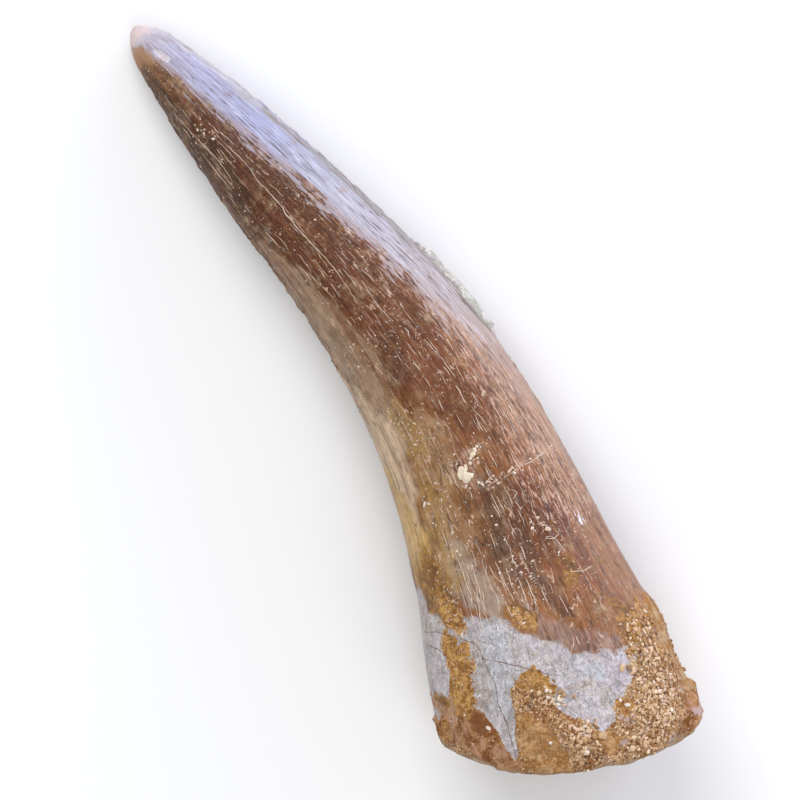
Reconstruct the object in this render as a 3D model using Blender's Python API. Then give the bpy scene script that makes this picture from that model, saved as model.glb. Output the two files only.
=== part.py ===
"""A fossil plesiosaur tooth, lying on its side with its tip towards +Y and its hollow curve towards -X.

Sizes are in millimetres, and angles named here are in degrees; MM turns a finished point into metres. The
tooth is one natural piece: a UV sphere whose rings are moved, one after another, to the worn tip, down the
ridged crown, over the crusted root and across the broken end to the filled pulp cavity. "Along" is the
distance from the broken end, measured on the tooth's curved axis. "Around" is the angle about that axis: 0
faces +X (the outer curve), 90 faces up, 180 faces -X (the hollow curve) and 270 faces the surface that the
tooth lies on.
"""

import math

import bmesh
import bpy
from mathutils import Vector, noise

MM = 0.001

# The axis, from the broken end to the tip.
AXIS_LENGTH = 55.6
AXIS_START = (-1.55, -26.8)
LEAN_AT_ROOT = 12.1
LEAN_AT_TIP = -11.6
BEND_FROM = 11.1
BEND_LENGTH = 29.3
AXIS_STEPS = 200

# (along, half width) seen from above. The half height is a share of it.
HALF_WIDTHS = ((0, 7.85), (4, 7.8), (8, 7.5), (14, 6.35), (20, 5.55), (28, 4.75), (36, 3.95), (44, 3.15),
               (50, 2.2), (55.6, 1.05))
HEIGHT_SHARE_AT_ROOT = 0.82
HEIGHT_SHARE_AT_TIP = 0.96
TIP_DOME = 2.2
RESTING_FLAT_DEPTH = 0.15

# The broken end: how far the root stops short, from the hollow curve's side (-1) to the outer curve's (1).
BROKEN_END = ((-1.0, 5.2), (-0.92, 3.85), (-0.75, 2.8), (-0.4, 1.45), (0.1, 0.5), (0.5, 0.2), (0.85, 0.5),
              (1.0, 1.5))
UNDERSIDE_BROKEN_SHORT = 0.8
END_BLENDS_OVER = 13.0
EDGE_CHIP_DEPTH = 0.3
EDGE_CHIP_SIZE = 1.8
WALL_INSIDE = 0.69
CAVITY_DEPTH = 1.3
CAVITY_LUMP = 0.6
CAVITY_LUMP_SIZE = 2.4

# The crown's lengthwise ridges, which turn slowly round the tooth towards the tip. They are cut into the
# enamel, and the root is a step below it.
COLUMNS = 96
MAIN_RIDGES = 32
GROOVE_DEPTH = 0.08
RIDGE_TWIST = 30.0
RIDGE_TWIST_GROWTH = 1.6
# (around, along) of the enamel's lower edge, which slants down to the outer curve.
ENAMEL_EDGE = ((0, 6.3), (45, 6.8), (72, 8.3), (98, 10.8), (125, 13.2), (180, 13.4), (240, 11.5),
               (300, 8.0), (360, 6.3))
ENAMEL_FADE = 2.0
ENAMEL_STEP = 0.1
TIP_WEAR = 5.0
TIP_RIDGES_LEFT = 0.25

# The sandy crust on the root: how far up it reaches on the hollow side and on the outer side, and how thick
# it is.
CRUST_REACH_HOLLOW = 3.0
CRUST_REACH_OUTER = 8.5
CRUST_REACH_STRAY = 1.4
CRUST_REACH_STRAY_SIZE = 2.2
CRUST_EDGE = 1.2
CRUST_THICKEST_AT = -8.0
CRUST_THICKNESS = 0.3
CRUST_LUMP = 0.35
CRUST_LUMP_SIZE = 1.5

# (along, around, length, width, height) of the raised places that are wider than a grain.
RAISED_PLACES = (
    (30.8, -5.0, 6.0, 2.0, 0.45),  # a film of pale rock on the outer curve
    (2.0, 4.0, 1.5, 2.2, 0.35),  # a nub of bare dentine at the outer corner
)
# (along, around, radius) of the lumps of rock that make the pale chip on the crown.
CHIP_LUMPS = ((20.35, 97.0, 0.55), (20.8, 89.0, 0.34))
CHIP_SINK = 0.6
CHIP_FLATNESS = 0.6
CHIP_DENTS = 0.18
CHIP_DENT_SIZE = 0.45

# Rings, from the tip to the middle of the broken end.
DOME_RINGS = 4
CROWN_RING_SPACING = 1.9
ROOT_RING_SPACING = 0.8
LAST_SIDE_RING = 0.9
# (along past the edge, share of the section's radius, share of the cavity's depth)
END_RINGS = ((0.35, 0.99, 0.0), (0.05, 0.955, 0.0), (0.0, 0.88, 0.0), (0.0, 0.78, 0.0),
             (0.05, WALL_INSIDE, 0.05), (0.0, 0.62, 0.7), (0.0, 0.5, 1.0), (0.0, 0.38, 0.9),
             (0.0, 0.26, 1.0), (0.0, 0.13, 0.95))

FOSSIL_BROWN = (0.22, 0.10, 0.055, 1.0)
FOSSIL_ROUGHNESS = 0.42


def smoothstep(value):
    t = min(max(value, 0.0), 1.0)
    return t * t * (3.0 - 2.0 * t)


def smooth_through(stations, at):
    """The value at a place on the smooth curve through (place, value) stations."""
    places = [place for place, _ in stations]
    values = [value for _, value in stations]
    last = len(places) - 1
    slopes = [(values[i + 1] - values[i]) / (places[i + 1] - places[i]) for i in range(last)]
    bends = [slopes[0]] + [(slopes[i - 1] + slopes[i]) / 2 for i in range(1, last)] + [slopes[-1]]
    i = min(max(sum(place <= at for place in places) - 1, 0), last - 1)
    gap = places[i + 1] - places[i]
    t = (at - places[i]) / gap
    return (
        (1 + 2 * t) * (1 - t) ** 2 * values[i]
        + t * (1 - t) ** 2 * gap * bends[i]
        + t * t * (3 - 2 * t) * values[i + 1]
        + t * t * (t - 1) * gap * bends[i + 1]
    )


def lean(along):
    """The axis's angle from +Y, positive towards +X."""
    share = smoothstep((along - BEND_FROM) / BEND_LENGTH)
    return math.radians(LEAN_AT_ROOT + (LEAN_AT_TIP - LEAN_AT_ROOT) * share)


def walk_axis():
    """The axis's (x, y) at even steps from the broken end to the tip."""
    step = AXIS_LENGTH / AXIS_STEPS
    x, y = AXIS_START
    points = [(x, y)]
    for i in range(AXIS_STEPS):
        angle = lean((i + 0.5) * step)
        x += math.sin(angle) * step
        y += math.cos(angle) * step
        points.append((x, y))
    return points


AXIS_POINTS = walk_axis()


def axis_at(along):
    place = min(max(along / AXIS_LENGTH, 0.0), 1.0) * AXIS_STEPS
    i = min(int(place), AXIS_STEPS - 1)
    part = place - i
    (x0, y0), (x1, y1) = AXIS_POINTS[i], AXIS_POINTS[i + 1]
    return x0 + (x1 - x0) * part, y0 + (y1 - y0) * part


def half_sizes(along):
    """(half width, half height) of the section, before the tip's dome closes it."""
    width = smooth_through(HALF_WIDTHS, along)
    share = HEIGHT_SHARE_AT_ROOT + (HEIGHT_SHARE_AT_TIP - HEIGHT_SHARE_AT_ROOT) * along / AXIS_LENGTH
    return width, width * share


def dome_share(along):
    q = min(max((along - AXIS_LENGTH + TIP_DOME) / TIP_DOME, 0.0), 1.0)
    return math.sqrt(1.0 - q * q)


def section_point(along, around, share, raised):
    """A point of the section at that place: share is 0 on the axis and 1 on the smooth surface."""
    width, height = half_sizes(along)
    x, y = axis_at(along)
    angle = lean(along)
    sideways = math.cos(around) * (width * share + raised)
    up = math.sin(around) * (height * share + raised)
    return Vector((x + sideways * math.cos(angle), y - sideways * math.sin(angle),
                   height - RESTING_FLAT_DEPTH + up))


def end_at(around, across):
    """How far up the axis the broken end lies, at a share of the radius across it."""
    stop = smooth_through(BROKEN_END, across * math.cos(around))
    stop += UNDERSIDE_BROKEN_SHORT * max(0.0, -math.sin(around)) * across
    radius = half_sizes(0.0)[0] * across
    chips = noise.noise(Vector((math.cos(around), math.sin(around), 0.0)) * radius / EDGE_CHIP_SIZE)
    return stop + EDGE_CHIP_DEPTH * chips


def crust_share(along, around, place):
    """1 under the sandy crust, 0 on bare tooth."""
    outer = 0.5 + 0.5 * math.cos(around - math.radians(CRUST_THICKEST_AT))
    reach = CRUST_REACH_HOLLOW + (CRUST_REACH_OUTER - CRUST_REACH_HOLLOW) * outer**3
    reach += CRUST_REACH_STRAY * noise.noise(place / CRUST_REACH_STRAY_SIZE)
    return smoothstep((reach - along) / CRUST_EDGE)


def raised_share(along, around, centre_along, centre_around, length, width):
    """1 at the middle of an oval place on the surface and 0 beyond its edge."""
    radius = half_sizes(centre_along)[0]
    turn = math.remainder(around - math.radians(centre_around), math.tau)
    reach = math.hypot(2 * (along - centre_along) / length, 2 * turn * radius / width)
    return smoothstep(1.0 - reach)


def surface_relief(along, around, column_angle, place):
    """How far the surface stands off the smooth section."""
    enamel_edge = smooth_through(ENAMEL_EDGE, math.degrees(around) % 360.0)
    above_root = smoothstep((along - enamel_edge) / ENAMEL_FADE)
    unworn = TIP_RIDGES_LEFT + (1.0 - TIP_RIDGES_LEFT) * smoothstep((AXIS_LENGTH - along) / TIP_WEAR)
    groove = 0.5 - 0.5 * math.cos(MAIN_RIDGES * column_angle)
    relief = -ENAMEL_STEP * (1.0 - above_root) - GROOVE_DEPTH * above_root * unworn * groove
    crust = crust_share(along, around, place)
    lumps = noise.noise(place / CRUST_LUMP_SIZE) + 0.5 * noise.noise(2.0 * place / CRUST_LUMP_SIZE)
    relief += crust * (CRUST_THICKNESS + CRUST_LUMP * lumps)
    for centre_along, centre_around, length, width, height in RAISED_PLACES:
        relief += height * raised_share(along, around, centre_along, centre_around, length, width)
    return relief


def side_point(along, column_angle):
    around = column_angle + math.radians(RIDGE_TWIST) * (along / AXIS_LENGTH) ** RIDGE_TWIST_GROWTH
    along += end_at(around, 1.0) * (1.0 - smoothstep(along / END_BLENDS_OVER))
    share = dome_share(along)
    smooth = section_point(along, around, share, 0.0)
    return section_point(along, around, share, share * surface_relief(along, around, column_angle, smooth))


def end_point(past_edge, across, cavity, column_angle):
    """A point on the broken end, or in the filled cavity at its middle."""
    along = end_at(column_angle, across) + past_edge + cavity * CAVITY_DEPTH
    edge = section_point(along, column_angle, 1.0, 0.0)
    at_rim = smoothstep((across - WALL_INSIDE) / (1.0 - WALL_INSIDE))
    relief = at_rim * surface_relief(along, column_angle, column_angle, edge)
    point = section_point(along, column_angle, across, relief)
    along += cavity * CAVITY_LUMP * noise.noise(point / CAVITY_LUMP_SIZE)
    return section_point(along, column_angle, across, relief)


def ring_plan():
    """One function of the column's angle for each ring, from the tip to the broken end."""
    plan = []
    for k in range(1, DOME_RINGS + 1):
        up_the_dome = math.cos(math.radians(90.0 * k / (DOME_RINGS + 1)))
        plan.append(AXIS_LENGTH - TIP_DOME + TIP_DOME * up_the_dome)
    crown_from = AXIS_LENGTH - TIP_DOME
    crown_rings = round((crown_from - END_BLENDS_OVER) / CROWN_RING_SPACING)
    for k in range(crown_rings):
        plan.append(crown_from - k * (crown_from - END_BLENDS_OVER) / crown_rings)
    root_rings = round(END_BLENDS_OVER / ROOT_RING_SPACING)
    for k in range(root_rings):
        plan.append(END_BLENDS_OVER - k * (END_BLENDS_OVER - LAST_SIDE_RING) / (root_rings - 1))
    sides = [lambda angle, along=along: side_point(along, angle) for along in plan]
    ends = [lambda angle, ring=ring: end_point(*ring, angle) for ring in END_RINGS]
    return sides + ends


def shape_rings(bm, rings):
    """Moves each ring of a unit sphere to its place. The sphere's upper pole becomes the tip."""
    step = math.pi / (len(rings) + 1)
    for vertex in bm.verts:
        row = round(math.acos(max(-1.0, min(1.0, vertex.co.z))) / step) - 1
        angle = math.atan2(vertex.co.y, vertex.co.x)
        if row < 0:
            point = section_point(AXIS_LENGTH, 0.0, 0.0, 0.0)
        elif row == len(rings):
            point = end_point(0.0, 0.0, 1.0, 0.0)
        else:
            point = rings[row](angle)
        point.z = max(point.z, 0.0)
        vertex.co = point * MM


def add_object(name, bm, collection, material=None):
    mesh = bpy.data.meshes.new(name)
    bm.to_mesh(mesh)
    bm.free()
    mesh.shade_smooth()
    if material:
        mesh.materials.append(material)
    thing = bpy.data.objects.new(name, mesh)
    collection.objects.link(thing)
    return thing


def build_chip(collection):
    """The lumps of pale rock stuck on the crown, as solids that the tooth takes in."""
    lumps = []
    for number, (along, around, radius) in enumerate(CHIP_LUMPS):
        turn = math.radians(around)
        inward = section_point(along, turn, 1.0, -CHIP_SINK * radius * CHIP_FLATNESS)
        bm = bmesh.new()
        bmesh.ops.create_icosphere(bm, subdivisions=2, radius=radius * MM)
        for vertex in bm.verts:
            dent = 1.0 + CHIP_DENTS * noise.noise(vertex.co / MM / CHIP_DENT_SIZE + Vector((number, 0, 0)))
            vertex.co = Vector((vertex.co.x * dent, vertex.co.y * dent, vertex.co.z * dent * CHIP_FLATNESS))
        lump = add_object(f"chip_lump_{number + 1}", bm, collection)
        lump.location = inward * MM
        lump.hide_render = True
        lump.display_type = "WIRE"
        lumps.append(lump)
    return lumps


def fossil_material():
    material = bpy.data.materials.new("fossil_enamel")
    material.use_nodes = True
    surface = material.node_tree.nodes["Principled BSDF"]
    surface.inputs["Base Color"].default_value = FOSSIL_BROWN
    surface.inputs["Roughness"].default_value = FOSSIL_ROUGHNESS
    surface.inputs["Metallic"].default_value = 0.0
    material.diffuse_color = FOSSIL_BROWN
    return material


def build_tooth(collection, lumps):
    rings = ring_plan()
    bm = bmesh.new()
    bmesh.ops.create_uvsphere(bm, u_segments=COLUMNS, v_segments=len(rings) + 1, radius=1.0)
    shape_rings(bm, rings)
    bmesh.ops.recalc_face_normals(bm, faces=bm.faces)
    tooth = add_object("tooth", bm, collection, fossil_material())
    for lump in lumps:
        join = tooth.modifiers.new(lump.name, "BOOLEAN")
        join.operation = "UNION"
        join.object = lump
    return tooth


def main():
    for thing in list(bpy.data.objects):
        bpy.data.objects.remove(thing)
    parts = bpy.data.collections.new("fossil_plesiosaur_tooth")
    helpers = bpy.data.collections.new("joined_lumps")
    for collection in (parts, helpers):
        bpy.context.scene.collection.children.link(collection)
    build_tooth(parts, build_chip(helpers))


main()
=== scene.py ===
"""The looks of a fossil plesiosaur tooth that lies on its side: ridged brown enamel, grey dentine at the root,
iron-stained sandy rock on the broken end, and the pale crumbs and filled cracks on the crown.

Lengths are in millimetres until MM turns them into metres. "Along" is the distance from the broken end, measured
on the tooth's curved axis. "Around" is the angle about that axis in degrees: 0 faces +X (the outer curve), 90
faces up, 180 faces -X (the hollow curve) and 270 faces the surface that the tooth lies on.
"""

import math

import bmesh
import bpy
import numpy as np
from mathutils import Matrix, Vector, noise
from mathutils.bvhtree import BVHTree


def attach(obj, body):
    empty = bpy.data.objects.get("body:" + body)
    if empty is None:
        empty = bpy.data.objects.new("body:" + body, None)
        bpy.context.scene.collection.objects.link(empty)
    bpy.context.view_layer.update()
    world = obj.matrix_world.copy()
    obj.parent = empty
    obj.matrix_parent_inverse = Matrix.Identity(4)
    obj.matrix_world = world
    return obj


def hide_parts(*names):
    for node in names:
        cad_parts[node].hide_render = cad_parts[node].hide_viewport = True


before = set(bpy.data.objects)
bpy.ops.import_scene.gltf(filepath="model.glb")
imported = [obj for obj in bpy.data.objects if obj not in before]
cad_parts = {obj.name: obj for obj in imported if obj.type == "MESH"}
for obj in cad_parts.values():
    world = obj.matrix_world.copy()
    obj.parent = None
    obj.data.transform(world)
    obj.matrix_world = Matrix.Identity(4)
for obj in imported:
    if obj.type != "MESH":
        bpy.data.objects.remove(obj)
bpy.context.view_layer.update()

MM = 0.001

# ---------------------------------------------------------------- the tooth's form

# The solid has this form too, but for one corner of the broken end, which is trimmed a little more here.

AXIS_LENGTH = 55.6
AXIS_START = (-1.55, -26.8)
LEAN_AT_ROOT = 12.1
LEAN_AT_TIP = -11.6
BEND_FROM = 11.1
BEND_LENGTH = 29.3
AXIS_STEPS = 400

# (along, half width) seen from above. The half height is a share of it.
HALF_WIDTHS = ((0, 7.85), (4, 7.8), (8, 7.5), (14, 6.35), (20, 5.55), (28, 4.75), (36, 3.95), (44, 3.15), (50, 2.2),
               (55.6, 1.05))
HEIGHT_SHARE_AT_ROOT = 0.82
HEIGHT_SHARE_AT_TIP = 0.96
TIP_DOME = 2.2
RESTING_FLAT_DEPTH = 0.15

# The broken end: how far the root stops short, from the hollow curve's side (-1) to the outer curve's side (1).
BROKEN_END = ((-1, 5.2), (-0.92, 4.2), (-0.75, 3.05), (-0.4, 1.45), (0.1, 0.5), (0.5, 0.2), (0.85, 0.5), (1, 1.5))
UNDERSIDE_BROKEN_SHORT = 0.8
END_BLENDS_OVER = 13.0
EDGE_CHIP_DEPTH = 0.3
EDGE_CHIP_SIZE = 1.8
WALL_INSIDE = 0.69
CAVITY_DEPTH = 1.3
CAVITY_LUMP = 0.6
CAVITY_LUMP_SIZE = 2.4
CAVITY_PIT = 0.12
WALL_LUMP = 0.1
WALL_LUMP_SIZE = 0.7
# The share of the radius at which bare wall starts on the broken end, and how softly.
WALL_OUTSIDE = 0.985
WALL_FADE = 0.02

RIDGE_TWIST = 30.0
RIDGE_TWIST_GROWTH = 1.6
# (around, along) of the enamel's lower edge, which slants down to the outer curve.
ENAMEL_EDGE = ((0, 6.3), (45, 6.8), (72, 8.3), (98, 10.8), (125, 13.2), (180, 13.4), (240, 11.5), (300, 8),
               (360, 6.3))
ENAMEL_FADE = 2.0
ENAMEL_STEP = 0.1
TIP_WEAR = 5.0
TIP_RIDGES_LEFT = 0.25

# ---------------------------------------------------------------- what only the surface has

COLUMNS = 528
FINE_RIDGES = 76
GROOVE_DEPTH = 0.045
RIDGE_BLUNTNESS = 0.45
RIDGE_STARTS_WITHIN = 7.0
RIDGE_ENDS_WITHIN = 16.0
RIDGE_ENDS_BEFORE_TIP = 2.0
RIDGE_DIES_OVER = 6.0
ENDED_RIDGE_LEFT = 0.35
RUBBED_RIDGE_LEFT = 0.3
RUBBED_SHARPNESS = 1.2

# The ridges wander by noises on a cylinder of this radius, along which lengths are shrunk to this share. The noises
# in a table add up, and each is (amount, size, number).
RIDGE_CYLINDER = (3.0, 0.15)
RIDGE_WANDER = ((1.0, 0.8, 3), (0.2, 0.25, 4))
# The crust and the stains stray by noises in millimetres.
CRUST_STRAY = ((0.9, 1.1, 5), (0.35, 0.4, 6))
STAINS_STRAY_ALONG = ((0.4, 1.8, 9), (0.25, 0.6, 10))
STAINS_STRAY_AROUND = ((0.4, 1.8, 16), (0.25, 0.6, 17))
# The finish's streaks are worked out on a cylinder with about the crown's mean radius.
STREAKS_CYLINDER = 4.5

# (around, along) of the line where brown enamel gives way to grey dentine.
DENTINE_EDGE = ((0, 6.3), (40, 6.9), (49, 7), (58, 7.1), (69, 7.5), (76, 7.9), (86, 8.9), (96, 9.8), (101, 10.6),
                (110, 11.3), (120, 11.7), (128, 11.9), (136, 12.6), (150, 13.8), (180, 14.2), (240, 12), (300, 8),
                (360, 6.3))
DENTINE_FADE = 0.9
DENTINE_STRAY = 0.4
DENTINE_STRAY_SIZE = 0.9
# (around, along) of the sandy crust's upper edge.
CRUST_EDGE = (
    (0, 9.4), (20, 9.2), (34, 8.8), (41, 8.2), (44, 6.6), (47, 5.1), (52, 4.5), (60, 4.2), (66, 3.8), (72, 2.7),
    (79, 2.8), (85, 3.8), (91, 4.6), (95, 6), (100, 6.7), (107, 6.7), (111, 5.8), (114, 4), (116, 2.9),
    (118.5, 2.35), (121, 3.2), (124, 4.8), (128, 6), (134, 6.7), (142, 6.6), (152, 5.8), (164, 6.4), (185, 5.6),
    (230, 5), (290, 7.5), (360, 9.4),
)
CRUST_FADE = 0.55
CRUST_THICKNESS = 0.2
CRUST_LUMP = 0.24
CRUST_LUMP_SIZE = 1.5
CRUST_PIT = 0.09

FILM_THICKNESS = 0.34
FILM_STRAY = 0.5
FILM_LUMP = 0.2
FILM_LUMP_SIZE = 1.3
FILM_PIT = 0.1
NUB_HEIGHT = 0.6
NOTCH_DEPTH = 0.35
NICK_ROUGHNESS = 0.13
NICK_ROUGHNESS_SIZE = 0.32
NICK_DEPTH = 0.16
NICK_SIZE = 0.55
NICK_SHARPNESS = 2.6
TIP_CHIP_DEPTH = 0.14
PIT_SIZE = 0.5
SKIN_PIT = 0.012
SKIN_SWELL = 0.035
SKIN_SWELL_SIZE = 2.6

# Stains and raised places: each has paths of (along, around, half width).
FILM_OF_ROCK = (((33.2, -8, 0.5), (31.4, -6, 1.2), (29, -4, 1.3), (27.6, -2, 0.6)),)
NUB = (((3, 8, 0.7), (1.5, 14, 1), (0.6, 22, 0.6)),)
NOTCH = (((0.6, 34, 0.35), (1, 27, 0.25)),)
CHIPPED_TIP = (((53.5, 89, 0.12), (53.1, 86, 0.2), (52.7, 83, 0.26)),)
NICKED_FLANKS = (((53, 170, 0.5), (44, 178, 0.7), (30, 180, 0.8)), ((53.5, 6, 0.5), (38, 2, 0.7), (22, 0, 0.6)))
STAINS = {
    "tan_flank": (((18.6, 22, 2), (13, 22, 2.6), (9.5, 24, 2.2)),),
    "pink": (((31, 38, 1.4), (25, 34, 2.4), (18, 34, 2.8)), ((21.2, 93, 0.4), (20.2, 99, 0.9), (19.6, 94, 0.5))),
    "taupe": (((40, 150, 0.3), (36, 148, 1.5), (29, 144, 2.1), (24, 140, 1.2)), ((42, 200, 1.5), (24, 205, 2.8)),
        ((15, 240, 4), (11, 235, 3.5))),
    "pale_tan": (((30.5, 178, 0.2), (28, 163, 0.9), (25, 156, 1.8), (21, 158, 2.1), (17.5, 162, 1.3)),),
    "russet": (((28, 62, 1.2), (23, 67, 1.6), (17, 65, 1.9), (12, 60, 1.6)), ((28.5, 84, 0.9), (23, 84, 0.9))),
    "haze": (((25, 108, 0.4), (22.4, 113, 1.6), (20.4, 112, 1)), ((19, 122, 0.8), (17.2, 121, 1.6), (15, 124, 1))),
    "milky": (((16, 121, 0.6), (13.8, 119, 1.3), (12.6, 112, 1), (11.6, 106, 0.6)),),
    "mauve": (((11.4, 92, 0.3), (9.8, 84, 0.6), (8.5, 75, 0.7), (7.9, 64, 0.7), (7.6, 54, 0.5)),),
    "blue_grey": (((11, 116, 0.4), (9.6, 111, 0.9), (7.8, 113, 0.8), (5.6, 116, 0.5)),
        ((7, 78, 0.4), (6, 68, 0.5))),
    "olive": (((52.6, 158, 0.6), (50.4, 154, 1.1), (47.5, 150, 1.1), (45, 142, 0.6)),
        ((50, 138, 0.8), (46.5, 133, 1.1), (43, 132, 0.8)), ((50, 190, 1), (40, 210, 2.2)),
        ((26, 300, 2), (20, 310, 2.4))),
    # Dark stains; the short path beside the cream chip, from (21.1, 98) to (20.9, 102), is the chip's painted shadow.
    "dark": (((18.7, 84, 0.9), (17, 77, 1.7), (15, 82, 1.8), (13.2, 86, 1)), ((18, 66, 0.8), (15, 62, 1)),
        ((26.5, 84, 0.8), (23.4, 80, 1.1)), ((30.4, 103, 0.8), (28, 107, 1)), ((11.9, 79, 0.6), (10.4, 73, 0.6)),
        ((21.1, 98, 0.2), (20.9, 102, 0.25)), ((19, 325, 2.5), (15, 325, 3))),
    "yellow": (((22, 165, 0.7), (18.6, 160, 1.3), (16.4, 157, 1.6), (15, 160, 1)),
        ((23, 205, 0.8), (16, 200, 1.5))),
    "mustard": (((26.4, 127, 0.5), (24.6, 124, 1), (22.6, 120, 0.7)), ((20.5, 116, 0.5), (19.6, 118, 0.4)),
        ((21, 128, 0.6), (17.5, 130, 1), (14.2, 130, 0.9)), ((18, 142, 0.6), (16.6, 146, 0.8))),
    "gold": (((16.2, 149, 0.5), (14.8, 148, 1.3), (13.6, 144, 1.3), (12.2, 138, 0.7)),
        ((14.6, 160, 0.4), (13.8, 156, 0.7), (13, 152, 0.5)), ((13.2, 61, 0.5), (12.2, 62, 0.6)),
        ((11.2, 96, 0.5), (10.5, 92, 0.6)), ((9.6, 44, 0.6), (8.6, 40, 0.9)), ((7.7, 164, 0.4), (7.3, 152, 0.45)),
        ((12, 220, 1.4), (7, 215, 1.6)), ((11, 316, 1.6), (8, 320, 1.8))),
    "tan_root": (((7.6, 174, 0.5), (7, 162, 0.7), (6.8, 150, 0.9), (6.8, 138, 0.7)), ((9, 205, 2), (6, 220, 2.5))),
    "ochre": (((13.6, 142, 0.4), (12.6, 138, 0.7), (11.8, 134, 0.75), (11.3, 131, 0.5)),
        ((10.8, 142, 0.5), (9.9, 139, 0.95), (8.8, 136, 1.15), (7.6, 138, 1.2), (6.8, 138, 1)),
        ((10.1, 131, 0.35), (9.7, 129, 0.35)), ((11.1, 99, 0.4), (10.5, 94, 0.6), (10.1, 92, 0.45)),
        ((7, 104, 0.5), (6.8, 98, 0.6), (6.1, 92, 0.5)), ((4, 64, 0.35), (3.7, 61, 0.5), (3.2, 60, 0.4)),
        ((8.2, 36, 0.5), (7.2, 43, 0.45), (6.6, 47, 0.35)), ((5.8, 156, 0.4), (5, 162, 0.5)),
        ((9.2, 26, 0.5), (7.2, 28, 0.45), (5.6, 26, 0.4)), ((7.6, 262, 1.2), (6, 268, 1.4))),
    "rind": (((10.4, 22, 0.5), (8.8, 12, 1.1), (6.6, 16, 0.8), (5.2, 6, 1), (3.6, 12, 0.6)),
        ((3.2, 160, 0.6), (2.4, 148, 0.8), (1.8, 134, 0.9), (1.4, 122, 0.6))),
    "smooth_rust": (((4.8, 108, 0.6), (3.4, 105, 1.1), (2.2, 104, 1.3), (1.2, 102, 1.2)),
        ((2.6, 76, 0.5), (1.8, 76, 0.7))),
    "dark_rust": (((5.9, 133, 0.5), (5.3, 130, 0.75), (4.8, 126, 0.5)),),
    "pink_seam": (((6.9, 156, 0.15), (7, 148, 0.25), (6.7, 140, 0.2), (6.5, 130, 0.15)),
        ((4.4, 139, 0.1), (3.4, 134, 0.15))),
    "red_brown": (((6, 164, 0.8), (5.6, 150, 1.2), (5.2, 137, 1.5), (4.4, 130, 1.2)),
        ((3.4, 128, 0.9), (2.4, 121, 0.8)), ((7, 230, 1.5), (5, 235, 1.8)), ((5, 280, 1.6), (3.5, 290, 1.6)),
        ((4, 4, 0.8), (2.6, 10, 1), (1, 20, 1.1))),
    # A painted sheen: pale lilac gloss on the nub and on small lumps of the rock.
    "painted_lump_sheen": (((2.1, 14, 0.35), (1.7, 20, 0.3)), ((0.6, 38, 0.3), (0.5, 42, 0.25)),
        ((3.1, 66, 0.16), (2.6, 60, 0.22)), ((1.3, 71, 0.2), (1.5, 67, 0.15))),
    # A painted reflection: the whitish right edge near the tip.
    "painted_edge_reflection": (((54, 18, 0.6), (47, 15, 0.8), (44, 12, 0.4)),),
    "grey_edge": (((46, 22, 0.35), (41, 18, 0.9), (34, 10, 0.9), (28, 6, 0.8)),),
    # A painted highlight: a small star-shaped glint with a lilac halo.
    "painted_sparkle": (((15.4, 37.6, 0.13), (15.15, 38.8, 0.15)), ((15.8, 36.8, 0.03), (14.85, 39.6, 0.04)),
        ((15.1, 35.6, 0.03), (15.5, 40.8, 0.03)), ((14.95, 37.4, 0.06), (14.9, 37, 0.05))),
    "tan_tip": (((54.6, 168, 0.5), (54, 140, 0.7), (53.4, 118, 0.5)),),
    "chipped": CHIPPED_TIP,
}
SHARP_STAINS = ("painted_sparkle", "chipped")
WALL_HIDES_STAINS = 0.7

# ---------------------------------------------------------------- sums that everything uses


def smoothstep(value):
    t = np.clip(value, 0.0, 1.0)
    return t * t * (3.0 - 2.0 * t)


def smooth_through(stations, at):
    """The values at some places on the smooth curve through (place, value) stations."""
    places, values = np.array(stations, float).T
    slopes = np.diff(values) / np.diff(places)
    bends = np.concatenate([slopes[:1], (slopes[:-1] + slopes[1:]) / 2, slopes[-1:]])
    i = np.clip(np.searchsorted(places, at, "right") - 1, 0, len(places) - 2)
    gap = places[i + 1] - places[i]
    t = (at - places[i]) / gap
    return (
        (1 + 2 * t) * (1 - t) ** 2 * values[i]
        + t * (1 - t) ** 2 * gap * bends[i]
        + t * t * (3 - 2 * t) * values[i + 1]
        + t * t * (t - 1) * gap * bends[i + 1]
    )


def lean(along):
    """The axis's angle from +Y in radians, positive towards +X."""
    share = smoothstep((along - BEND_FROM) / BEND_LENGTH)
    return np.radians(LEAN_AT_ROOT + (LEAN_AT_TIP - LEAN_AT_ROOT) * share)


def walk_axis():
    """The axis's places along, and its x and y there."""
    step = AXIS_LENGTH / AXIS_STEPS
    angle = lean((np.arange(AXIS_STEPS) + 0.5) * step)
    x = AXIS_START[0] + np.concatenate([[0.0], np.cumsum(np.sin(angle) * step)])
    y = AXIS_START[1] + np.concatenate([[0.0], np.cumsum(np.cos(angle) * step)])
    return np.arange(AXIS_STEPS + 1) * step, x, y


AXIS_ALONG, AXIS_X, AXIS_Y = walk_axis()


def half_sizes(along):
    """(half width, half height) of the section, before the tip's dome closes it."""
    width = smooth_through(HALF_WIDTHS, along)
    share = HEIGHT_SHARE_AT_ROOT + (HEIGHT_SHARE_AT_TIP - HEIGHT_SHARE_AT_ROOT) * along / AXIS_LENGTH
    return width, width * share


def dome_share(along):
    q = np.clip((along - AXIS_LENGTH + TIP_DOME) / TIP_DOME, 0.0, 1.0)
    return np.sqrt(1.0 - q * q)


def section_point(along, around, share, raised):
    """Points of the section: share is 0 on the axis and 1 on the smooth surface."""
    width, height = half_sizes(along)
    turn = np.radians(around)
    sideways = np.cos(turn) * (width * share + raised)
    up = np.sin(turn) * (height * share + raised)
    x = np.interp(along, AXIS_ALONG, AXIS_X) + sideways * np.cos(lean(along))
    y = np.interp(along, AXIS_ALONG, AXIS_Y) - sideways * np.sin(lean(along))
    return np.stack([x, y, height - RESTING_FLAT_DEPTH + up], -1)


# Each number reads the noise that far from the last one's, in the noise's own units.
NOISE_APART = 19.7


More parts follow.
